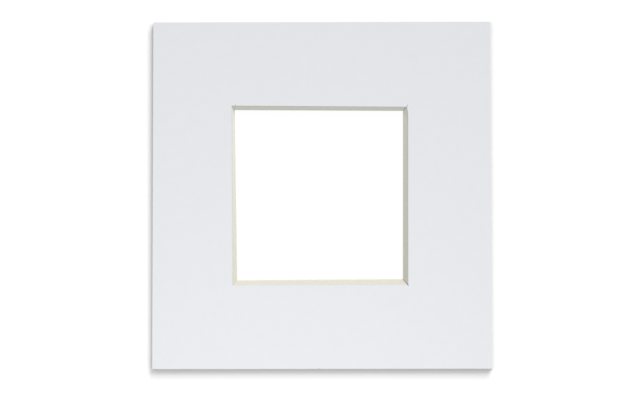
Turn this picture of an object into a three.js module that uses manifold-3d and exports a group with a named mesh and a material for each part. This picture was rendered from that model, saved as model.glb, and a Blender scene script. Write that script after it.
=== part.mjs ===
// A picture mount: one sheet of mount board with a bevelled window cut in it by hand.
//
// The sheet lies flat with its face up. X runs across the picture, Y up the picture and Z out of
// the face, and the origin is the middle of the back. Sizes are in millimetres, angles in degrees.

import * as THREE from 'three';
import { mergeVertices } from 'three/addons/utils/BufferGeometryUtils.js';
import Module from 'manifold-3d';

// The sheet. Its edges are cut square by a guillotine, which presses the face arris down a little.
const sheetWidth = 99.1;
const sheetHeight = 101.6;
const boardThickness = 1.4;
const sheetCornerRadius = 0.2;
const knockedCornerRadius = 0.55;
const faceEdgeRoll = 0.1;

// Borders: from each edge of the sheet to the window's arris on the face, at both ends of the cut.
const leftBorderAtTop = 23.03;
const leftBorderAtBottom = 23.3;
const rightBorderAtTop = 24.33;
const rightBorderAtBottom = 24.49;
const topBorderAtLeft = 24.7;
const topBorderAtRight = 25.1;
const bottomBorderAtLeft = 24.25;
const bottomBorderAtRight = 24.28;

// Blade angles: how far the blade leans from upright along each cut. It is set to 45 degrees, and
// a hand-held cutter wanders a few degrees either side of that.
const leftBladeAtTop = 32.5;
const leftBladeAtBottom = 45.5;
const rightBladeAtTop = 46.5;
const rightBladeAtBottom = 48;
const topBladeAtLeft = 39.5;
const topBladeAtRight = 37.5;
const bottomBladeAtLeft = 49;
const bottomBladeAtRight = 53.5;

// The hook: where the right cut starts, the blade flexes and bites inwards on the face.
const hookDepth = 0.4;
const hookLength = 3;

// Overcuts: the cuts are made from the back and run past each corner there, to free the corner on
// the face. The right cut starts beyond the corner on the face as well, and splays outwards.
const backOvercut = 1.9;
const backOvercutWidth = 0.07;
const faceOvercut = 0.9;
const faceOvercutSplay = 0.36;
const faceOvercutWidth = 0.16;

// A nick above the upper left corner, where the blade's point came through the facing paper.
const pointNickLength = 0.5;
const pointNickWidth = 0.1;
const pointNickDepth = 0.35;
const pointNickInset = 1.1;

// The open mitre at the lower right corner, where the two bevels don't quite meet.
const mitreGapAtFace = 0.2;
const mitreGapAtBack = 0.1;
const mitreGapDepth = 0.65;
const mitreGapPastCorner = 0.1;

// A small dent in the lower edge of the sheet.
const edgeDentRadius = 0.3;
const edgeDentDepth = 0.2;
const edgeDentFromMiddle = -0.95;

// The facing paper: white, a little cool, and matt.
const facingColour = 0xe6e8ec;
const facingRoughness = 0.9;

// How finely curves are divided, and how far a cutting shape runs past what it cuts.
const windowStepsAcross = 8;
const windowStepsUp = 40;
const windowStepCrowding = 1.5;
const cornerSteps = 5;
const rollSteps = 2;
const dentSides = 24;
const cutPast = 0.5;
const slitPast = 0.01;
const slitOverlap = 0.04;
const weldDistance = 1e-4;

// The heights at which a cutting block has points, from behind the back to above the face.
const windowHeights = [-cutPast, 0, boardThickness, boardThickness + cutPast];
const slitHeights = [-cutPast, 0, boardThickness, boardThickness + slitPast];

const wasm = await Module();
wasm.setup();

const { lerp, degToRad } = THREE.MathUtils;
const runOf = (bladeAngle) => boardThickness * Math.tan(degToRad(bladeAngle));
const upright = new THREE.Vector3(0, 0, 1);

// A corner of the window: its point on the face, and its point on the back, which lies further in
// by the runs of the two bevels that meet there.
function windowCorner(sideX, sideY, borderX, borderY, bladeX, bladeY) {
  const onFace = new THREE.Vector3(
    sideX * (sheetWidth / 2 - borderX),
    sideY * (sheetHeight / 2 - borderY),
    boardThickness,
  );
  const onBack = new THREE.Vector3(
    onFace.x - sideX * runOf(bladeX),
    onFace.y - sideY * runOf(bladeY),
    0,
  );
  return { onFace, onBack };
}

const topLeft = windowCorner(
  -1, 1, leftBorderAtTop, topBorderAtLeft, leftBladeAtTop, topBladeAtLeft,
);
const topRight = windowCorner(
  1, 1, rightBorderAtTop, topBorderAtRight, rightBladeAtTop, topBladeAtRight,
);
const bottomRight = windowCorner(
  1, -1, rightBorderAtBottom, bottomBorderAtRight, rightBladeAtBottom, bottomBladeAtRight,
);
const bottomLeft = windowCorner(
  -1, -1, leftBorderAtBottom, bottomBorderAtLeft, leftBladeAtBottom, bottomBladeAtLeft,
);

// The point at height z on the straight line through a corner's points on the back and the face.
function cornerAt(corner, z) {
  return corner.onBack.clone().lerp(corner.onFace, z / boardThickness);
}

// Turns a closed geometry into a solid that can be joined and cut.
function toSolid(geometry) {
  geometry.deleteAttribute('normal');
  geometry.deleteAttribute('uv');
  const welded = mergeVertices(geometry, weldDistance);
  return new wasm.Manifold(
    new wasm.Mesh({
      numProp: 3,
      vertProperties: Float32Array.from(welded.attributes.position.array),
      triVerts: Uint32Array.from(welded.index.array),
    }),
  );
}

// Turns a solid back into a geometry for a mesh.
function toGeometry(solid) {
  const { vertProperties, triVerts } = solid.getMesh();
  const geometry = new THREE.BufferGeometry();
  geometry.setAttribute('position', new THREE.BufferAttribute(vertProperties, 3));
  geometry.setIndex(new THREE.BufferAttribute(triVerts, 1));
  geometry.computeVertexNormals();
  return geometry;
}

// A block with each of its points moved to pointAt(u, v, w), where u, v and w run from 0 to 1.
function shapedBlock(pointAt, stepsU = 1, stepsV = 1, stepsW = 1) {
  const block = new THREE.BoxGeometry(1, 1, 1, stepsU, stepsV, stepsW).translate(0.5, 0.5, 0.5);
  const position = block.attributes.position;
  for (let i = 0; i < position.count; i++) {
    const point = pointAt(position.getX(i), position.getY(i), position.getZ(i));
    position.setXYZ(i, point.x, point.y, point.z);
  }
  return toSolid(block);
}

// The outline of the sheet: a rectangle with eased corners, one of them knocked blunt.
function sheetOutline() {
  const right = sheetWidth / 2;
  const top = sheetHeight / 2;
  const outline = new THREE.Shape();
  outline.moveTo(-right + sheetCornerRadius, -top);
  outline.lineTo(right - sheetCornerRadius, -top);
  outline.quadraticCurveTo(right, -top, right, -top + sheetCornerRadius);
  outline.lineTo(right, top - sheetCornerRadius);
  outline.quadraticCurveTo(right, top, right - sheetCornerRadius, top);
  outline.lineTo(-right + knockedCornerRadius, top);
  outline.quadraticCurveTo(-right, top, -right, top - knockedCornerRadius);
  outline.lineTo(-right, -top + sheetCornerRadius);
  outline.quadraticCurveTo(-right, -top, -right + sheetCornerRadius, -top);
  return outline;
}

// The sheet before its window is cut. The extrusion rolls the arris of both faces, so it is made
// too deep and then cut off flat at the back, where the edge is sharp.
function blankSheet() {
  const deep = new THREE.ExtrudeGeometry(sheetOutline(), {
    depth: boardThickness - faceEdgeRoll + cutPast,
    curveSegments: cornerSteps,
    bevelThickness: faceEdgeRoll,
    bevelSize: faceEdgeRoll,
    bevelOffset: -faceEdgeRoll,
    bevelSegments: rollSteps,
  }).translate(0, 0, -cutPast);
  const behindBack = new THREE.BoxGeometry(sheetWidth * 2, sheetHeight * 2, cutPast * 4)
    .translate(0, 0, -cutPast * 2);
  return toSolid(deep).subtract(toSolid(behindBack));
}

// How far the hook has pulled the right cut inwards, at a distance from its start and a height.
function hookAt(fromStart, z) {
  const bend = Math.max(0, 1 - fromStart / hookLength) ** 2;
  return (hookDepth * bend * z) / boardThickness;
}

// What the four cuts take out: a block whose walls lean as the blade did, so it is wider at the
// face. The hook bends its right wall near the top, where its steps crowd together.
function windowWaste() {
  const cutLength = topRight.onFace.distanceTo(bottomRight.onFace);
  const layers = windowHeights.length - 1;
  return shapedBlock((u, v, w) => {
    const z = windowHeights[Math.round(w * layers)];
    const fromTop = (1 - v) ** windowStepCrowding;
    const lower = cornerAt(bottomLeft, z).lerp(cornerAt(bottomRight, z), u);
    const upper = cornerAt(topLeft, z).lerp(cornerAt(topRight, z), u);
    const point = upper.lerp(lower, fromTop);
    point.x -= u * hookAt(fromTop * cutLength, z);
    return point;
  }, windowStepsAcross, windowStepsUp, layers);
}

// The slit that one cut leaves beyond a corner. It lies in the plane of the blade and narrows to
// its end, which is pastBack beyond the corner on the back and pastFace beyond it on the face.
function bladeSlit(corner, otherEnd, { pastFace, pastBack, width, hooked = false, splay = 0 }) {
  const along = corner.onFace.clone().sub(otherEnd.onFace).normalize();
  const across = upright.clone().cross(along);
  const layers = slitHeights.length - 1;
  return shapedBlock((u, v, w) => {
    const z = slitHeights[Math.round(v * layers)];
    const past = lerp(pastBack, pastFace, z / boardThickness);
    const aside = (u - 0.5) * width * (1 - 0.7 * w) - splay * w * (z / boardThickness);
    const point = cornerAt(corner, z)
      .addScaledVector(along, lerp(-slitOverlap, past, w))
      .addScaledVector(across, aside);
    point.x -= hooked ? hookAt(0, z) : 0;
    return point;
  }, 1, layers);
}

// All the overcuts: two at each corner, one for each of the cuts that meet there.
function overcuts() {
  const onBackOnly = { pastFace: 0, pastBack: backOvercut, width: backOvercutWidth };
  const throughFace = {
    pastFace: faceOvercut,
    pastBack: backOvercut,
    width: faceOvercutWidth,
    hooked: true,
    splay: faceOvercutSplay,
  };
  const corners = [topLeft, topRight, bottomRight, bottomLeft];
  return corners.flatMap((corner, i) => {
    const next = corners[(i + 1) % corners.length];
    const previous = corners[(i + corners.length - 1) % corners.length];
    const startsRightCut = corner === topRight;
    return [
      bladeSlit(corner, next, startsRightCut ? throughFace : onBackOnly),
      bladeSlit(corner, previous, onBackOnly),
    ];
  });
}

// The nick above the upper left corner. It runs up the face from the top arris.
function pointNick() {
  const topCut = topRight.onFace.clone().sub(topLeft.onFace).normalize();
  const foot = topLeft.onFace.clone().addScaledVector(topCut, pointNickInset);
  return shapedBlock((u, v, w) => new THREE.Vector3(
    foot.x + (u - 0.5) * pointNickWidth * (1 - 0.7 * v),
    foot.y + lerp(-slitOverlap, pointNickLength, v),
    lerp(boardThickness - pointNickDepth, boardThickness + slitPast, w),
  ));
}

// The gap along the mitre at the lower right corner. It follows the mitre from the back, where it
// is a hair, to the face, where it is widest and deepest and runs a little past the corner.
function openMitre() {
  const mitre = bottomRight.onFace.clone().sub(bottomRight.onBack);
  const run = Math.hypot(mitre.x, mitre.y);
  const along = new THREE.Vector3(mitre.x, mitre.y, 0).normalize();
  const across = upright.clone().cross(along);
  return shapedBlock((u, v, w) => {
    const share = w * (1 + mitreGapPastCorner / run);
    const width = lerp(mitreGapAtBack, mitreGapAtFace, w);
    const point = bottomRight.onBack.clone()
      .addScaledVector(mitre, share)
      .addScaledVector(across, (u - 0.5) * width);
    point.z += lerp(-mitreGapDepth * w, cutPast, v);
    return point;
  });
}

// The dent in the lower edge of the sheet.
function edgeDent() {
  const dent = new THREE.CylinderGeometry(
    edgeDentRadius, edgeDentRadius, boardThickness + 2 * cutPast, dentSides,
  );
  dent.rotateX(Math.PI / 2);
  dent.translate(
    edgeDentFromMiddle, -sheetHeight / 2 - edgeDentRadius + edgeDentDepth, boardThickness / 2,
  );
  return toSolid(dent);
}

// The mount: the sheet, less all that the cuts and knocks have taken from it.
function mountBoard() {
  const cuts = [windowWaste(), ...overcuts(), pointNick(), openMitre(), edgeDent()];
  const solid = cuts.reduce((board, cut) => board.subtract(cut), blankSheet());
  const facing = new THREE.MeshStandardMaterial({
    color: facingColour,
    roughness: facingRoughness,
    metalness: 0,
    flatShading: true,
  });
  const mesh = new THREE.Mesh(toGeometry(solid), facing);
  mesh.name = 'mount_board';
  return mesh;
}

const pictureMount = new THREE.Group();
pictureMount.add(mountBoard());

export default pictureMount;
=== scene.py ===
"""A hand-cut picture mount, dressed for its photograph.

The mount is one sheet of laminated board: white facing paper, a cream pulp core and a lining paper.
It lies on its back. X runs across the picture, Y up it and Z out of the face. Sizes are in metres.
"""

import logging
import math
from collections.abc import Callable
from dataclasses import dataclass, replace
from enum import Enum, IntEnum

import bmesh
import bpy
from mathutils import Euler, Matrix, Vector, noise


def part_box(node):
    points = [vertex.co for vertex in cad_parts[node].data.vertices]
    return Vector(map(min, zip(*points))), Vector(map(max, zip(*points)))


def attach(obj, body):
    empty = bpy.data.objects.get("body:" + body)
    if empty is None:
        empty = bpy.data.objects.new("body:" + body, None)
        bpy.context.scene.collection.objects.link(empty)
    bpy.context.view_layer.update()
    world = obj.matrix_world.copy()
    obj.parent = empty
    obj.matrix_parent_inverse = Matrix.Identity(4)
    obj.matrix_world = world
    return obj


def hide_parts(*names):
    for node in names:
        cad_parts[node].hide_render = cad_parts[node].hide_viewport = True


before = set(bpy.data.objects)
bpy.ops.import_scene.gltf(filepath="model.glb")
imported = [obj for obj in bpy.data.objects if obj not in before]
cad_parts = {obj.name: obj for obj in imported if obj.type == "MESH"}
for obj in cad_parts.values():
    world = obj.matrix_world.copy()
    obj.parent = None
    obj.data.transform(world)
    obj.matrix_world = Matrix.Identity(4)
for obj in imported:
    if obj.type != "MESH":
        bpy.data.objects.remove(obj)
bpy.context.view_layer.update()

MM = 0.001
NODE = "mount_board"
BODY = "root"

log = logging.getLogger("picture_mount")

Element = bmesh.types.BMVert | bmesh.types.BMEdge | bmesh.types.BMFace


class Layer(IntEnum):
    """The board's layers, in the order of the mesh's material slots."""

    FACING = 0
    ARRIS_HIGHLIGHT = 1
    FACING_EDGE = 2
    CORE = 3
    SLIT_SHADE = 4
    RIM_SHADE = 5
    LINING = 6


class Side(Enum):
    """The four cuts, in the order in which the outline runs round the window."""

    BOTTOM = 0
    RIGHT = 1
    TOP = 2
    LEFT = 3


# Finishes


class NodeBench:
    """A material's node tree, with short ways to add and join nodes."""

    def __init__(self, name: str) -> None:
        """Start a material that holds only a shader and its output.

        Args:
            name: the material's name.
        """
        self.material = bpy.data.materials.new(name)
        self.material.use_nodes = True
        self.tree = self.material.node_tree
        self.tree.nodes.clear()
        self.output = self.tree.nodes.new("ShaderNodeOutputMaterial")

    def add(self, kind: str, **settings: object) -> bpy.types.Node:
        """Add a node.

        Args:
            kind: the node's type.
            settings: its properties, by name.

        Returns:
            The new node.
        """
        node = self.tree.nodes.new(kind)
        for key, value in settings.items():
            setattr(node, key, value)
        return node

    def join(self, source: bpy.types.NodeSocket, target: bpy.types.NodeSocket) -> None:
        """Link one socket to another."""
        self.tree.links.new(source, target)

    def place(self, stretch: tuple[float, float, float] = (1.0, 1.0, 1.0)) -> bpy.types.NodeSocket:
        """Give the piece's own coordinates.

        Args:
            stretch: how many times finer the pattern is along each axis.

        Returns:
            The socket that holds the coordinates.
        """
        where = self.add("ShaderNodeTexCoord")
        scale = self.add("ShaderNodeMapping")
        scale.inputs["Scale"].default_value = stretch
        self.join(where.outputs["Object"], scale.inputs["Vector"])
        return scale.outputs["Vector"]

    def grain(
        self, place: bpy.types.NodeSocket, size: float, detail: float, crisp: float = 0.5
    ) -> bpy.types.NodeSocket:
        """Add a noise whose features are about one size.

        Args:
            place: the coordinates that it reads.
            size: the size of its features, in metres.
            detail: how many finer octaves it has.
            crisp: how strong the finer octaves are, from 0 to 1.

        Returns:
            The noise's value, from 0 to 1.
        """
        texture = self.add("ShaderNodeTexNoise")
        texture.inputs["Scale"].default_value = 1.0 / size
        texture.inputs["Detail"].default_value = detail
        texture.inputs["Roughness"].default_value = crisp
        self.join(place, texture.inputs["Vector"])
        return texture.outputs["Fac"]

    def ramp(
        self,
        value: bpy.types.NodeSocket,
        low: tuple[float, ...],
        high: tuple[float, ...],
        span: tuple[float, float],
    ) -> bpy.types.NodeSocket:
        """Turn a value into a colour between two others.

        Args:
            value: the socket to read.
            low: the colour at the start of the span.
            high: the colour at its end.
            span: the values at which the two colours are reached.

        Returns:
            The socket that holds the colour.
        """
        ramp = self.add("ShaderNodeValToRGB")
        ramp.color_ramp.elements[0].position = span[0]
        ramp.color_ramp.elements[0].color = (*low, 1.0)
        ramp.color_ramp.elements[1].position = span[1]
        ramp.color_ramp.elements[1].color = (*high, 1.0)
        self.join(value, ramp.inputs["Fac"])
        return ramp.outputs["Color"]


MOTTLE_OCTAVES = 5.0
MOTTLE_SPAN = (0.3, 0.7)
TOOTH_OCTAVES = 3.0


@dataclass(frozen=True)
class PaperFinish:
    """A paper or pulp surface: mottled colour, a fine tooth and hardly any shine."""

    name: str
    colour: tuple[float, float, float]
    mottle: float
    mottle_size: float
    tooth_size: float
    tooth_height: float
    roughness: float
    stretch: tuple[float, float, float] = (1.0, 1.0, 1.0)
    specular: float = 0.25
    fibre: float = 0.5
    # A colour towards the top of the sheet; on the core it is lighter, which is painted light.
    upper_painted_light_colour: tuple[float, float, float] | None = None
    painted_light_reach: float = 27.0 * MM

    def shade(self, colour: tuple[float, float, float], share: float) -> tuple[float, float, float]:
        """Make a colour lighter or darker by a share of itself."""
        return tuple(channel * (1.0 + share) for channel in colour)

    def spread(
        self, bench: NodeBench, mottle: bpy.types.NodeSocket, colour: tuple[float, float, float]
    ) -> bpy.types.NodeSocket:
        """Let a colour vary with the mottle, as far as the finish says."""
        low, high = (self.shade(colour, share) for share in (-self.mottle, self.mottle))
        return bench.ramp(mottle, low, high, MOTTLE_SPAN)

    def mottled(self, bench: NodeBench, place: bpy.types.NodeSocket) -> bpy.types.NodeSocket:
        """Give the surface's colour, mottled, and blending up the sheet into a second colour where the
        finish has two; on the core this paints light onto the upper part.

        Args:
            bench: the material.
            place: the coordinates.

        Returns:
            The socket that holds the colour.
        """
        mottle = bench.grain(place, self.mottle_size, detail=MOTTLE_OCTAVES, crisp=self.fibre)
        low = self.spread(bench, mottle, self.colour)
        if self.upper_painted_light_colour is None:
            return low
        high = self.spread(bench, mottle, self.upper_painted_light_colour)
        parts = bench.add("ShaderNodeSeparateXYZ")
        bench.join(bench.place(), parts.inputs["Vector"])
        share = bench.add("ShaderNodeMapRange")
        share.inputs["From Min"].default_value = -self.painted_light_reach
        share.inputs["From Max"].default_value = self.painted_light_reach
        bench.join(parts.outputs["Y"], share.inputs["Value"])
        both = bench.add("ShaderNodeMix", data_type="RGBA")
        bench.join(share.outputs["Result"], both.inputs["Factor"])
        bench.join(low, both.inputs["A"])
        bench.join(high, both.inputs["B"])
        return both.outputs["Result"]

    def build(self) -> bpy.types.Material:
        """Make the material.

        Returns:
            The material, ready for a slot.
        """
        bench = NodeBench(self.name)
        shader = bench.add("ShaderNodeBsdfPrincipled")
        shader.inputs["Roughness"].default_value = self.roughness
        shader.inputs["Specular IOR Level"].default_value = self.specular
        place = bench.place(self.stretch)
        bench.join(self.mottled(bench, place), shader.inputs["Base Color"])
        bump = bench.add("ShaderNodeBump")
        bump.inputs["Strength"].default_value = 1.0
        bump.inputs["Distance"].default_value = self.tooth_height
        tooth = bench.grain(place, self.tooth_size, detail=TOOTH_OCTAVES, crisp=self.fibre)
        bench.join(tooth, bump.inputs["Height"])
        bench.join(bump.outputs["Normal"], shader.inputs["Normal"])
        bench.join(shader.outputs["BSDF"], bench.output.inputs["Surface"])
        return bench.material


FINISHES: dict[Layer, PaperFinish] = {
    Layer.FACING: PaperFinish(
        name="facing_paper",
        colour=(0.787, 0.802, 0.833),
        mottle=0.007,
        mottle_size=2.2 * MM,
        tooth_size=0.3 * MM,
        tooth_height=0.008 * MM,
        roughness=0.86,
    ),
    # Lighter than the facing: a painted highlight along the rolled outer arris.
    Layer.ARRIS_HIGHLIGHT: PaperFinish(
        name="facing_paper_arris_highlight",
        colour=(0.82, 0.832, 0.858),
        mottle=0.03,
        mottle_size=0.6 * MM,
        tooth_size=0.15 * MM,
        tooth_height=0.008 * MM,
        roughness=0.92,
    ),
    Layer.FACING_EDGE: PaperFinish(
        name="facing_paper_edge",
        colour=(0.62, 0.63, 0.625),
        mottle=0.06,
        mottle_size=0.4 * MM,
        tooth_size=0.08 * MM,
        tooth_height=0.014 * MM,
        roughness=0.95,
        fibre=0.7,
    ),
    Layer.CORE: PaperFinish(
        name="pulp_core",
        colour=(0.65, 0.615, 0.516),
        # Lighter and cooler towards the top: painted light that lifts the shaded upper bevel.
        upper_painted_light_colour=(0.735, 0.742, 0.642),
        mottle=0.075,
        mottle_size=0.55 * MM,
        tooth_size=0.14 * MM,
        tooth_height=0.03 * MM,
        roughness=0.95,
        stretch=(1.0, 1.0, 3.0),
        fibre=0.75,
    ),
    # Dark: partly the blade's crushed fibre, partly painted shade for the depth of the slits.
    Layer.SLIT_SHADE: PaperFinish(
        name="knife_slit_shade",
        colour=(0.38, 0.37, 0.345),
        mottle=0.05,
        mottle_size=0.3 * MM,
        tooth_size=0.08 * MM,
        tooth_height=0.01 * MM,
        roughness=0.95,
    ),
    # Darker and greyer than the core: painted shade for the outer cut edge, which also deepens the shadow
    # line below the lower edge.
    Layer.RIM_SHADE: PaperFinish(
        name="trimmed_core_shade",
        colour=(0.50, 0.49, 0.45),
        mottle=0.10,
        mottle_size=0.6 * MM,
        tooth_size=0.16 * MM,
        tooth_height=0.03 * MM,
        roughness=0.95,
        stretch=(1.0, 1.0, 4.0),
        fibre=0.75,
    ),
    Layer.LINING: PaperFinish(
        name="lining_paper",
        colour=(0.73, 0.72, 0.69),
        mottle=0.02,
        mottle_size=1.6 * MM,
        tooth_size=0.25 * MM,
        tooth_height=0.01 * MM,
        roughness=0.9,
        fibre=0.6,
    ),
}


# The board


@dataclass(frozen=True)
class WindowCorner:
    """A corner of the window, where two cuts meet."""

    side_x: int
    side_y: int
    border_x: float
    border_y: float
    blade_x: float
    blade_y: float


@dataclass(frozen=True)
class Overcut:
    """The slit that a cut leaves where it runs past a corner."""

    corner: int
    other_end: int
    past_face: float = 0.0
    width: float = 0.07 * MM
    splay: float = 0.0
    hooked: bool = False
    # By default a slit takes the dark finish with painted shade.
    layer: Layer = Layer.SLIT_SHADE


@dataclass(frozen=True)
class Ring:
    """One ring of the sheet's mesh: what places its points, and the layer of the band that ends at it."""

    place: Callable[[int], Vector]
    layer: Layer


@dataclass
class MountBoard:
    """The whole mount: a laminated sheet with a window cut through it by hand from the back."""

    width: float
    height: float
    thickness: float
    corners: tuple[WindowCorner, ...] = (
        WindowCorner(-1, -1, 23.3 * MM, 24.25 * MM, 45.5, 49.0),
        WindowCorner(1, -1, 24.49 * MM, 24.28 * MM, 48.0, 53.5),
        WindowCorner(1, 1, 24.33 * MM, 25.1 * MM, 46.5, 37.5),
        WindowCorner(-1, 1, 23.03 * MM, 24.7 * MM, 32.5, 39.5),
    )
    facing: float = 0.25 * MM
    lining: float = 0.16 * MM
    edge_roll: float = 0.1 * MM
    corner_radius: float = 0.2 * MM
    knocked_radius: float = 0.55 * MM
    hook_depth: float = 0.4 * MM
    hook_length: float = 3.0 * MM
    hooked_corner: int = 2
    back_overcut: float = 1.9 * MM
    face_overcut: float = 0.9 * MM
    face_overcut_width: float = 0.16 * MM
    face_overcut_splay: float = 0.36 * MM
    clean_slit: tuple[float, Layer] = (0.045 * MM, Layer.CORE)
    # The open slits take the dark finish with painted shade.
    open_slit: tuple[float, Layer] = (0.07 * MM, Layer.SLIT_SHADE)
    slit_overlap: float = 0.04 * MM
    slit_taper: float = 0.7
    above_face: float = 0.01 * MM
    nick_length: float = 0.5 * MM
    nick_width: float = 0.1 * MM
    nick_depth: float = 0.35 * MM
    nick_inset: float = 1.1 * MM
    mitre_gap_face: float = 0.2 * MM
    mitre_gap_back: float = 0.1 * MM
    mitre_gap_depth: float = 0.65 * MM
    mitre_past: float = 0.1 * MM
    dent_radius: float = 0.3 * MM
    dent_depth: float = 0.2 * MM
    dent_from_middle: float = -0.95 * MM
    dent_segments: int = 24
    core_recess: float = 0.02 * MM
    core_rough: float = 0.018 * MM
    rough_size: float = 0.45 * MM
    ripple: float = 0.03 * MM
    ripple_size: float = 1.4 * MM
    ripple_ends_below: float = 0.15 * MM
    holding_inset: float = 0.2 * MM
    core_rings: int = 5
    roll_steps: int = 3
    steps_per_side: int = 300
    crowding: float = 0.78
    weld: float = 1e-4 * MM
    weld_after_cuts: float = 5e-4 * MM
    cut_past: float = 0.5 * MM

    @classmethod
    def from_frame(cls) -> "MountBoard":
        """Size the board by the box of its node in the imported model.

        Returns:
            The board, not yet built.
        """
        low, high = (Vector(corner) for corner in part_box(NODE))
        size = high - low
        return cls(width=size.x, height=size.y, thickness=size.z)

    # Where things are

    def on_back(self, corner: WindowCorner) -> Vector:
        """Give a corner's point on the back, further in than on the face by the runs of its bevels.

        Args:
            corner: the corner.

        Returns:
            The point.
        """
        point = self.on_face(corner)
        point.x -= corner.side_x * self.thickness * math.tan(math.radians(corner.blade_x))
        point.y -= corner.side_y * self.thickness * math.tan(math.radians(corner.blade_y))
        point.z = 0.0
        return point

    def on_face(self, corner: WindowCorner) -> Vector:
        """Give a corner's point on the face."""
        return Vector(
            (
                corner.side_x * (self.width / 2 - corner.border_x),
                corner.side_y * (self.height / 2 - corner.border_y),
                self.thickness,
            )
        )

    def corner_at(self, index: int, z: float) -> Vector:
        """Give the point at a height on the line where the two bevels of a corner meet."""
        corner = self.corners[index % len(self.corners)]
        return self.on_back(corner).lerp(self.on_face(corner), z / self.thickness)

    def hook_at(self, from_start: float, z: float) -> float:
        """Say how far the blade bit inwards where the right cut starts.

        Args:
            from_start: the distance from the cut's start.
            z: the height above the back.

        Returns:
            The distance by which the cut lies further in.
        """
        bend = max(0.0, 1.0 - from_start / self.hook_length) ** 2
        return self.hook_depth * bend * z / self.thickness

    def along_side(self, index: int) -> tuple[Side, float]:
        """Give the side that a step of the outline lies on, and its share of that side.

        The steps crowd together towards the corners, where the small shapes are.

        Args:
            index: the step's number, counted round the outline.

        Returns:
            The side, and a share from 0 to 1.
        """
        number, step = divmod(index, self.steps_per_side)
        share = step / self.steps_per_side
        turn = 2.0 * math.pi
        return Side(number % len(Side)), share - self.crowding * math.sin(turn * share) / turn

    def window_point(self, index: int, z: float) -> Vector:
        """Give a point of the window's outline at a height.

        Args:
            index: the step's number, counted round the outline.
            z: the height above the back.

        Returns:
            The point.
        """
        side, share = self.along_side(index)
        start = self.corner_at(side.value, z)
        end = self.corner_at(side.value + 1, z)
        if side is Side.TOP:
            start.x -= self.hook_at(0.0, z)
        point = start.lerp(end, share)
        if side is Side.RIGHT:
            point.x -= self.hook_at((1.0 - share) * (end - start).length, z)
        return point

    def edge_point(self, index: int, z: float, inset: float = 0.0) -> Vector:
        """Give a point of the sheet's outline.

        Args:
            index: the step's number, counted round the outline.
            z: the height above the back.
            inset: how far inside the outline the point lies.

        Returns:
            The point, with the sheet's corners eased.
        """
        side, share = self.along_side(index)
        right = self.width / 2 - inset
        top = self.height / 2 - inset
        ring = [(-right, -top), (right, -top), (right, top), (-right, top), (-right, -top)]
        point = Vector((*ring[side.value], z)).lerp(Vector((*ring[side.value + 1], z)), share)
        knocked = point.x < 0.0 < point.y
        radius = (self.knocked_radius if knocked else self.corner_radius) - inset
        centre = Vector((math.copysign(right - radius, point.x), math.copysign(top - radius, point.y), z))
        beyond = Vector((abs(point.x) - abs(centre.x), abs(point.y) - abs(centre.y), 0.0))
        if min(beyond.x, beyond.y) > 0.0:
            point = centre + (point - centre).normalized() * radius
        return point

    def roughened(self, point: Vector, inwards: Vector) -> Vector:
        """Move a point in from a cut surface by a recess and a little roughness."""
        return point + inwards * (self.core_recess + self.core_rough * noise.noise(point / self.rough_size))

    def ripple_at(self, point: Vector) -> float:
        """Say how far the layers stray up or down at a point of a cut wall.

        Args:
            point: the point.

        Returns:
            The distance upwards, which is nothing at the arrises.
        """
        if not 0.0 < point.z < self.thickness - self.ripple_ends_below:
            return 0.0
        return self.ripple * noise.noise(Vector((point.x, point.y, 0.0)) / self.ripple_size)

    # The mesh

    def window_ring(self, z: float, layer: Layer, cut: bool = False) -> Ring:
        """Give a ring of the window's wall.

        Args:
            z: its height above the back.
            layer: what the band that ends at it is made of.
            cut: whether it lies on the roughly cut core.

        Returns:
            The ring.
        """

        def place(index: int) -> Vector:
            point = self.window_point(index, z + self.ripple_at(self.window_point(index, z)))
            return self.roughened(point, Vector((point.x, point.y, 0.0)).normalized()) if cut else point

        return Ring(place, layer)

    def edge_ring(self, z: float, layer: Layer, inset: float = 0.0, cut: bool = False) -> Ring:
        """Give a ring of the sheet's outer edge.

        Args:
            z: its height above the back.
            layer: what the band that ends at it is made of.
            inset: how far inside the outline it lies.
            cut: whether it lies on the roughly cut core.

        Returns:
            The ring.
        """

        def place(index: int) -> Vector:
            point = self.edge_point(index, z, inset)
            point.z += self.ripple_at(point)
            return self.roughened(point, Vector((-point.x, -point.y, 0.0)).normalized()) if cut else point

        return Ring(place, layer)

    def rings(self) -> list[Ring]:
        """List the rings from the window's back arris, over the face and the edge, round to the start.

        Returns:
            The rings, in the order in which they are extruded.
        """
        low = self.lining
        high = self.thickness - self.facing
        bands = self.core_rings + 1
        levels = [low + (high - low) * step / bands for step in range(bands + 1)]
        rings = [self.window_ring(0.0, Layer.LINING), self.window_ring(low, Layer.LINING)]
        rings += [self.window_ring(z, Layer.CORE, cut=True) for z in levels]
        rings += [self.window_ring(high, Layer.CORE), self.window_ring(self.thickness, Layer.FACING_EDGE)]
        rings.append(self.edge_ring(self.thickness, Layer.FACING, inset=self.holding_inset))
        for step in range(self.roll_steps + 1):
            turn = math.pi / 2 * step / self.roll_steps
            down = self.edge_roll * (1.0 - math.cos(turn))
            inset = self.edge_roll * (1.0 - math.sin(turn))
            # The rolled arris takes the lighter finish, a painted highlight.
            rings.append(self.edge_ring(self.thickness - down, Layer.ARRIS_HIGHLIGHT, inset=inset))
        rings.append(self.edge_ring(high, Layer.FACING_EDGE))
        # The outer edge's core takes the darker finish, painted shade.
        rings += [self.edge_ring(z, Layer.RIM_SHADE, cut=True) for z in reversed(levels)]
        rings += [self.edge_ring(low, Layer.RIM_SHADE), self.edge_ring(0.0, Layer.LINING)]
        rings.append(self.window_ring(0.0, Layer.LINING))
        return rings

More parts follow.
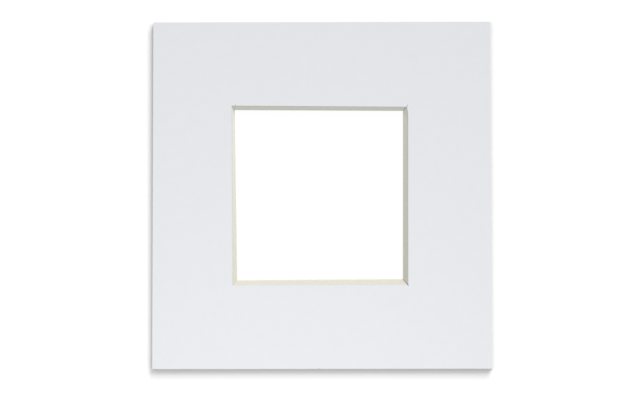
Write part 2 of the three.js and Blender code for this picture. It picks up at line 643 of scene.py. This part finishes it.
    def sheet_mesh(self) -> bmesh.types.BMesh:
        """Extrude the window's outline, ring by ring, over the face and round the back to itself.

        Returns:
            The closed sheet, without its slits, nick and dent.
        """
        mesh = bmesh.new()
        bmesh.ops.create_circle(mesh, cap_ends=False, segments=len(Side) * self.steps_per_side, radius=1.0)
        steps = {vert: index for index, vert in enumerate(mesh.verts)}
        edges = list(mesh.edges)
        first, *others = self.rings()
        for vert, index in steps.items():
            vert.co = first.place(index)
        for ring in others:
            made = bmesh.ops.extrude_edge_only(mesh, edges=edges)["geom"]
            steps = {vert: steps[before] for vert, before in self.pairs(made, steps)}
            for vert, index in steps.items():
                vert.co = ring.place(index)
            for face in (part for part in made if isinstance(part, bmesh.types.BMFace)):
                face.material_index = ring.layer
            sides = (part for part in made if isinstance(part, bmesh.types.BMEdge))
            edges = [edge for edge in sides if steps.keys() >= set(edge.verts)]
        bmesh.ops.remove_doubles(mesh, verts=mesh.verts, dist=self.weld)
        bmesh.ops.recalc_face_normals(mesh, faces=mesh.faces)
        return mesh

    def pairs(
        self, made: list[Element], steps: dict[bmesh.types.BMVert, int]
    ) -> list[tuple[bmesh.types.BMVert, bmesh.types.BMVert]]:
        """Pair each new point of an extrusion with the one that it came from.

        Args:
            made: what the extrusion made.
            steps: the points of the ring before.

        Returns:
            The pairs, the new point first.
        """
        found = []
        for vert in (part for part in made if isinstance(part, bmesh.types.BMVert)):
            before = (edge.other_vert(vert) for edge in vert.link_edges)
            found += [(vert, other) for other in before if other in steps]
        return found

    # What the blade and knocks have left

    def block(self, point_at: Callable[[float, float, float], Vector]) -> bmesh.types.BMesh:
        """Shape a block by moving each of its corners.

        Args:
            point_at: gives a corner's place from its shares, 0 or 1, along the block's axes.

        Returns:
            The block, as a tool to cut with.
        """
        mesh = bmesh.new()
        bmesh.ops.create_cube(mesh, size=1.0)
        for vert in mesh.verts:
            vert.co = point_at(vert.co.x + 0.5, vert.co.y + 0.5, vert.co.z + 0.5)
        bmesh.ops.triangulate(mesh, faces=mesh.faces)
        return mesh

    def overcut_tool(self, cut: Overcut) -> bmesh.types.BMesh:
        """Make the tool for a slit, which lies in the plane of the blade and narrows to its end.

        Args:
            cut: the slit.

        Returns:
            The tool.
        """
        along = self.corner_at(cut.corner, self.thickness) - self.corner_at(cut.other_end, self.thickness)
        along.normalize()
        across = Vector((-along.y, along.x, 0.0))
        heights = (-self.cut_past, self.thickness + self.above_face)

        def point_at(u: float, v: float, w: float) -> Vector:
            z = heights[round(v)]
            past = self.back_overcut + (cut.past_face - self.back_overcut) * z / self.thickness
            aside = (u - 0.5) * cut.width * (1.0 - self.slit_taper * w) - cut.splay * w * z / self.thickness
            point = self.corner_at(cut.corner, z)
            point += along * (past if w > 0.5 else -self.slit_overlap) + across * aside
            point.x -= self.hook_at(0.0, z) if cut.hooked else 0.0
            return point

        return self.block(point_at)

    def overcuts(self) -> list[Overcut]:
        """List the overcuts, two at each corner. The left ones are so clean that they hardly show.

        Returns:
            The overcuts. The one where the right cut starts runs past the corner on the face too.
        """
        slits = (self.clean_slit, self.open_slit, self.open_slit, self.clean_slit)
        cuts = []
        for corner, (width, layer) in enumerate(slits):
            hooked = corner == self.hooked_corner
            for other_end in (corner + 1, corner - 1):
                cut = Overcut(corner, other_end, width=width, hooked=hooked, layer=layer)
                if hooked and other_end == Side.RIGHT.value:
                    cut = replace(
                        cut,
                        past_face=self.face_overcut,
                        width=self.face_overcut_width,
                        splay=self.face_overcut_splay,
                    )
                cuts.append(cut)
        return cuts

    def nick_tool(self) -> bmesh.types.BMesh:
        """Make the tool for the nick above the upper left corner.

        Returns:
            The tool.
        """
        left = self.corner_at(3, self.thickness)
        right = self.corner_at(2, self.thickness)
        foot = left + (right - left).normalized() * self.nick_inset

        def point_at(u: float, v: float, w: float) -> Vector:
            return Vector(
                (
                    foot.x + (u - 0.5) * self.nick_width * (1.0 - self.slit_taper * v),
                    foot.y + (self.nick_length if v > 0.5 else -self.slit_overlap),
                    self.thickness + (self.above_face if w > 0.5 else -self.nick_depth),
                )
            )

        return self.block(point_at)

    def mitre_tool(self) -> bmesh.types.BMesh:
        """Make the tool for the open mitre at the lower right corner.

        Returns:
            The tool.
        """
        back = self.corner_at(1, 0.0)
        mitre = self.corner_at(1, self.thickness) - back
        run = math.hypot(mitre.x, mitre.y)
        across = Vector((-mitre.y, mitre.x, 0.0)).normalized()

        def point_at(u: float, v: float, w: float) -> Vector:
            width = self.mitre_gap_back + (self.mitre_gap_face - self.mitre_gap_back) * w
            point = back + mitre * w * (1.0 + self.mitre_past / run) + across * (u - 0.5) * width
            point.z += self.cut_past if v > 0.5 else -self.mitre_gap_depth * w
            return point

        return self.block(point_at)

    def dent_tool(self) -> bmesh.types.BMesh:
        """Make the tool for the dent in the lower edge of the sheet.

        Returns:
            The tool.
        """
        mesh = bmesh.new()
        depth = self.thickness + 2.0 * self.cut_past
        y = -self.height / 2 - self.dent_radius + self.dent_depth
        place = Matrix.Translation((self.dent_from_middle, y, self.thickness / 2))
        bmesh.ops.create_cone(
            mesh,
            cap_ends=True,
            segments=self.dent_segments,
            radius1=self.dent_radius,
            radius2=self.dent_radius,
            depth=depth,
            matrix=place,
        )
        return mesh

    def painted(self, tool: bmesh.types.BMesh, layer: Layer) -> bmesh.types.BMesh:
        """Let a tool leave one layer's finish where it cuts.

        Args:
            tool: the tool.
            layer: the layer.

        Returns:
            The same tool.
        """
        for face in tool.faces:
            face.material_index = layer
        return tool

    def banded(self, tool: bmesh.types.BMesh) -> bmesh.types.BMesh:
        """Let a tool leave each layer's finish at that layer's height.

        Args:
            tool: a tool with upright walls.

        Returns:
            The tool, split at the heights of the layers.
        """
        low = self.lining
        high = self.thickness - self.facing
        for z in (low, high):
            geom = [*tool.verts, *tool.edges, *tool.faces]
            bmesh.ops.bisect_plane(tool, geom=geom, plane_co=(0.0, 0.0, z), plane_no=(0.0, 0.0, 1.0))
        for face in tool.faces:
            z = face.calc_center_median().z
            # The dent's core takes the outer edge's darker finish, painted shade.
            face.material_index = Layer.LINING if z < low else Layer.RIM_SHADE if z < high else Layer.FACING_EDGE
        return tool

    def cutter(self) -> bmesh.types.BMesh:
        """Join the tools for all the cuts into one.

        Returns:
            The cutter. Its parts overlap where two slits meet at a corner.
        """
        tools = [self.painted(self.overcut_tool(cut), cut.layer) for cut in self.overcuts()]
        # The nick and the open mitre take the dark finish with painted shade.
        tools += [self.painted(tool, Layer.SLIT_SHADE) for tool in (self.nick_tool(), self.mitre_tool())]
        tools.append(self.banded(self.dent_tool()))
        cutter = bmesh.new()
        for tool in tools:
            bmesh.ops.recalc_face_normals(tool, faces=tool.faces)
            part = bpy.data.meshes.new("tool")
            tool.to_mesh(part)
            tool.free()
            cutter.from_mesh(part)
            bpy.data.meshes.remove(part)
        return cutter

    def carve(self, board: bpy.types.Object, tool: bmesh.types.BMesh) -> None:
        """Cut a tool out of the board. What it cuts takes the finish of the tool's faces.

        Args:
            board: the board's object.
            tool: what is taken out. It is used up.
        """
        cutter = object_from(tool, "cutter", board.data.materials)
        modifier = board.modifiers.new("cut", "BOOLEAN")
        modifier.operation = "DIFFERENCE"
        modifier.solver = "EXACT"
        modifier.use_self = True
        modifier.object = cutter
        seen = board.evaluated_get(bpy.context.evaluated_depsgraph_get())
        carved = bpy.data.meshes.new_from_object(seen)
        board.modifiers.remove(modifier)
        board.data = carved
        bpy.data.objects.remove(cutter)

    def soften(self, board: bpy.types.Object, sharp_angle: float = 28.0) -> None:
        """Shade the board smoothly, apart from its real arrises.

        Args:
            board: the board's object.
            sharp_angle: the least turn, in degrees, between the faces of an arris.
        """
        mesh = bmesh.new()
        mesh.from_mesh(board.data)
        bmesh.ops.remove_doubles(mesh, verts=mesh.verts, dist=self.weld_after_cuts)
        for face in mesh.faces:
            face.smooth = True
        for edge in mesh.edges:
            layers = {face.material_index for face in edge.link_faces}
            turned = edge.calc_face_angle(0.0) > math.radians(sharp_angle)
            edge.smooth = not turned and len(layers) == 1
        mesh.to_mesh(board.data)
        mesh.free()

    def build(self) -> None:
        """Make the board and let it stand for the node in the frame."""
        materials = [FINISHES[layer].build() for layer in Layer]
        board = object_from(self.sheet_mesh(), "dressed_mount_board", materials)
        self.carve(board, self.cutter())
        self.soften(board)
        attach(board, BODY)
        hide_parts(NODE)
        log.info("mount board: %d faces", len(board.data.polygons))


def object_from(
    mesh: bmesh.types.BMesh, name: str, materials: list[bpy.types.Material]
) -> bpy.types.Object:
    """Turn a bmesh into an object in the scene.

    Args:
        mesh: the bmesh. It is freed.
        name: the object's name.
        materials: its materials, in slot order.

    Returns:
        The object, at the origin.
    """
    data = bpy.data.meshes.new(name)
    mesh.to_mesh(data)
    mesh.free()
    for material in materials:
        data.materials.append(material)
    made = bpy.data.objects.new(name, data)
    bpy.context.scene.collection.objects.link(made)
    return made


# The studio


@dataclass
class Studio:
    """A white table, soft light from the upper right, and a camera that looks down on the sheet."""

    table_size: float = 4.0
    # What the lamps see of the table, and then what the camera sees of it, with a painted contact shadow
    # and painted light.
    table_drop: float = 0.02 * MM
    table_colour: tuple[float, float, float] = (0.9, 0.9, 0.9)
    table_as_seen: tuple[float, float, float] = (0.97, 0.97, 0.97)
    # Painted contact shadow: the colour the camera sees where the sheet touches the table.
    painted_contact_shadow: tuple[float, float, float] = (0.69, 0.69, 0.69)
    # Painted light: inside the window the table shows little of its own colour and glows white to the
    # camera over the wall's shadow.
    table_under_window_light: tuple[float, float, float] = (0.08, 0.08, 0.08)
    painted_shadow_reach: float = 4.0 * MM
    painted_shadow_span: tuple[float, float] = (0.5, 0.96)
    # Where the painted contact shadow is weakened: along an axis, between two places, up to a share.
    painted_shadow_ramps: tuple[tuple[str, float, float, float], ...] = (
        ("Y", -50.9 * MM, -50.0 * MM, 0.75),
        ("Y", 50.4 * MM, 50.6 * MM, 1.0),
        ("X", 47.4 * MM, 49.8 * MM, 0.5),
    )
    # Painted light inside the window.
    painted_window_light: float = 0.925
    window_middle: tuple[float, float] = (-0.8 * MM, -0.1 * MM)
    window_reach: tuple[float, float] = (26.0 * MM, 26.0 * MM)
    window_ramp: float = 0.05 * MM
    # Painted light: a glow that rises outside the sheet, lifting the shadow's tail and the far table to
    # white.
    painted_surround_light: float = 0.16
    surround_middle: tuple[float, float] = (-0.6 * MM, -2.2 * MM)
    surround_reach: tuple[float, float] = (49.0 * MM, 51.2 * MM)
    surround_ramp: float = 2.7 * MM
    sky: float = 0.55
    key_strength: float = 2.17
    key_spread: float = 36.0
    key_azimuth: float = 62.0
    key_elevation: float = 29.5
    fill_power: float = 0.056
    fill_size: float = 0.08
    fill_place: tuple[float, float, float] = (-0.015, -0.11, 0.16)
    lens: float = 100.0
    clip_start: float = 0.01
    camera_place: tuple[float, float, float] = (1.641 * MM, -28.64 * MM, 519.9 * MM)
    camera_turn: tuple[float, float, float] = (2.984, 0.256, -0.078)

    def build_camera(self) -> None:
        """Place the camera almost straight above the sheet, where the photograph was taken from."""
        data = bpy.data.cameras.new("camera")
        data.lens = self.lens
        data.clip_start = self.clip_start
        camera = bpy.data.objects.new("camera", data)
        camera.location = self.camera_place
        camera.rotation_euler = Euler([math.radians(angle) for angle in self.camera_turn], "XYZ")
        bpy.context.scene.collection.objects.link(camera)
        bpy.context.scene.camera = camera

    def table_material(self) -> bpy.types.Material:
        """Make the table's finish: pale to the lamps, white to the camera, with a painted contact shadow
        where the sheet meets it and painted light glowing in the window and round the sheet.

        Returns:
            The material.
        """
        bench = NodeBench("table")
        rays = bench.add("ShaderNodeLightPath")
        shadow_paint = bench.add("ShaderNodeMix", data_type="RGBA")
        shadow_paint.inputs["A"].default_value = (*self.painted_contact_shadow, 1.0)
        shadow_paint.inputs["B"].default_value = (*self.table_as_seen, 1.0)
        bench.join(self.painted_shadow_fade(bench), shadow_paint.inputs["Factor"])
        window = (self.window_middle, self.window_reach, self.window_ramp)
        seen = bench.add("ShaderNodeMix", data_type="RGBA")
        seen.inputs["B"].default_value = (*self.table_under_window_light, 1.0)
        bench.join(self.by_box(bench, *window, (1.0, 0.0)), seen.inputs["Factor"])
        bench.join(shadow_paint.outputs["Result"], seen.inputs["A"])
        colour = bench.add("ShaderNodeMix", data_type="RGBA")
        colour.inputs["A"].default_value = (*self.table_colour, 1.0)
        bench.join(rays.outputs["Is Camera Ray"], colour.inputs["Factor"])
        bench.join(seen.outputs["Result"], colour.inputs["B"])
        diffuse = bench.add("ShaderNodeBsdfDiffuse")
        bench.join(colour.outputs["Result"], diffuse.inputs["Color"])
        surround = (self.surround_middle, self.surround_reach, self.surround_ramp)
        level = bench.add("ShaderNodeMath", operation="ADD")
        bench.join(self.by_box(bench, *window, (self.painted_window_light, 0.0)), level.inputs[0])
        bench.join(self.by_box(bench, *surround, (0.0, self.painted_surround_light)), level.inputs[1])
        strength = bench.add("ShaderNodeMath", operation="MULTIPLY")
        bench.join(rays.outputs["Is Camera Ray"], strength.inputs[0])
        bench.join(level.outputs["Value"], strength.inputs[1])
        # Painted light: the camera sees the table glow in the window and round the sheet.
        painted_glow = bench.add("ShaderNodeEmission")
        painted_glow.inputs["Color"].default_value = (1.0, 1.0, 1.0, 1.0)
        bench.join(strength.outputs["Value"], painted_glow.inputs["Strength"])
        both = bench.add("ShaderNodeAddShader")
        bench.join(diffuse.outputs["BSDF"], both.inputs[0])
        bench.join(painted_glow.outputs["Emission"], both.inputs[1])
        bench.join(both.outputs["Shader"], bench.output.inputs["Surface"])
        return bench.material

    def painted_shadow_fade(self, bench: NodeBench) -> bpy.types.NodeSocket:
        """Find how far the painted contact shadow fades: least at the lower edge of the sheet, most at the
        upper.

        The painted shade is weakened beside the left and the right edge and towards the lower right corner,
        and it is gone above the upper edge.

        Args:
            bench: the table's material.

        Returns:
            A share, 0 where the painted shadow is darkest, by the sheet, and 1 in the open.
        """
        # An ambient occlusion node sets where the contact shadow is painted.
        nearness = bench.add("ShaderNodeAmbientOcclusion")
        nearness.inputs["Distance"].default_value = self.painted_shadow_reach
        shadow_paint = bench.add("ShaderNodeMapRange")
        shadow_paint.inputs["From Min"].default_value = self.painted_shadow_span[0]
        shadow_paint.inputs["From Max"].default_value = self.painted_shadow_span[1]
        bench.join(nearness.outputs["AO"], shadow_paint.inputs["Value"])
        parts = bench.add("ShaderNodeSeparateXYZ")
        bench.join(bench.place(), parts.inputs["Vector"])
        share = shadow_paint.outputs["Result"]
        for axis, low, high, most in self.painted_shadow_ramps:
            ramp = bench.add("ShaderNodeMapRange")
            ramp.inputs["From Min"].default_value = low
            ramp.inputs["From Max"].default_value = high
            ramp.inputs["To Max"].default_value = most
            bench.join(parts.outputs[axis], ramp.inputs["Value"])
            larger = bench.add("ShaderNodeMath", operation="MAXIMUM")
            bench.join(share, larger.inputs[0])
            bench.join(ramp.outputs["Result"], larger.inputs[1])
            share = larger.outputs["Value"]
        return share

    def by_box(
        self,
        bench: NodeBench,
        middle: tuple[float, float],
        reach: tuple[float, float],
        ramp: float,
        levels: tuple[float, float],
    ) -> bpy.types.NodeSocket:
        """Give one value inside a rectangle on the table and another outside it.

        Args:
            bench: the table's material.
            middle: the middle of the rectangle.
            reach: half its width and half its height.
            ramp: the distance outside it over which the value changes.
            levels: the value inside and the value outside.

        Returns:
            The socket that holds the value.
        """
        parts = bench.add("ShaderNodeSeparateXYZ")
        bench.join(bench.place(), parts.inputs["Vector"])
        farther = bench.add("ShaderNodeMath", operation="MAXIMUM")
        for number, axis in enumerate("XY"):
            aside = bench.add("ShaderNodeMath", operation="SUBTRACT")
            aside.inputs[1].default_value = middle[number]
            bench.join(parts.outputs[axis], aside.inputs[0])
            size = bench.add("ShaderNodeMath", operation="ABSOLUTE")
            bench.join(aside.outputs["Value"], size.inputs[0])
            past = bench.add("ShaderNodeMath", operation="SUBTRACT")
            past.inputs[1].default_value = reach[number]
            bench.join(size.outputs["Value"], past.inputs[0])
            bench.join(past.outputs["Value"], farther.inputs[number])
        value = bench.add("ShaderNodeMapRange")
        value.inputs["From Max"].default_value = ramp
        value.inputs["To Min"].default_value = levels[0]
        value.inputs["To Max"].default_value = levels[1]
        bench.join(farther.outputs["Value"], value.inputs["Value"])
        return value.outputs["Result"]

    def build_table(self) -> None:
        """Make the table under the sheet."""
        mesh = bmesh.new()
        bmesh.ops.create_grid(mesh, x_segments=1, y_segments=1, size=self.table_size / 2)
        bmesh.ops.translate(mesh, verts=mesh.verts, vec=(0.0, 0.0, -self.table_drop))
        table = object_from(mesh, "table", [self.table_material()])

    def build_sky(self) -> None:
        """Light everything evenly, and let the camera see white beyond the table."""
        world = bpy.data.worlds.new("sky")
        bpy.context.scene.world = world
        world.use_nodes = True
        tree = world.node_tree
        tree.nodes.clear()
        output = tree.nodes.new("ShaderNodeOutputWorld")
        background = tree.nodes.new("ShaderNodeBackground")
        background.inputs["Color"].default_value = (1.0, 1.0, 1.0, 1.0)
        rays = tree.nodes.new("ShaderNodeLightPath")
        level = tree.nodes.new("ShaderNodeMapRange")
        level.inputs["To Min"].default_value = self.sky
        level.inputs["To Max"].default_value = 1.0
        tree.links.new(rays.outputs["Is Camera Ray"], level.inputs["Value"])
        tree.links.new(level.outputs["Result"], background.inputs["Strength"])
        tree.links.new(background.outputs["Background"], output.inputs["Surface"])

    def build_lamps(self) -> None:
        """Set up the broad key from the upper right and the near fill beyond the lower edge."""
        key = bpy.data.lights.new("key", "SUN")
        key.energy = self.key_strength
        key.angle = math.radians(self.key_spread)
        azimuth = math.radians(self.key_azimuth)
        elevation = math.radians(self.key_elevation)
        towards = Vector(
            (
                math.cos(elevation) * math.cos(azimuth),
                math.cos(elevation) * math.sin(azimuth),
                math.sin(elevation),
            )
        )
        self.place_lamp(key, towards)
        fill = bpy.data.lights.new("fill", "AREA")
        fill.shape = "DISK"
        fill.size = self.fill_size
        fill.energy = self.fill_power
        self.place_lamp(fill, Vector(self.fill_place))

    def place_lamp(self, lamp: bpy.types.Light, place: Vector) -> None:
        """Put a lamp at a place, turned to the middle of the sheet.

        Args:
            lamp: the lamp.
            place: where it stands.
        """
        holder = bpy.data.objects.new(lamp.name, lamp)
        holder.location = place
        holder.visible_camera = False
        holder.rotation_euler = place.to_track_quat("Z", "Y").to_euler()
        bpy.context.scene.collection.objects.link(holder)

    def build(self) -> None:
        """Build the camera, the table and the light."""
        bpy.context.scene.view_settings.view_transform = "Standard"
        self.build_camera()
        self.build_table()
        self.build_sky()
        self.build_lamps()
        log.info("studio: camera, table, sky and two lamps")


def main() -> None:
    """Build the studio and the mount."""
    logging.basicConfig(level=logging.INFO, format="%(name)s: %(message)s")
    Studio().build()
    MountBoard.from_frame().build()


if __name__ == "__main__":
    main()
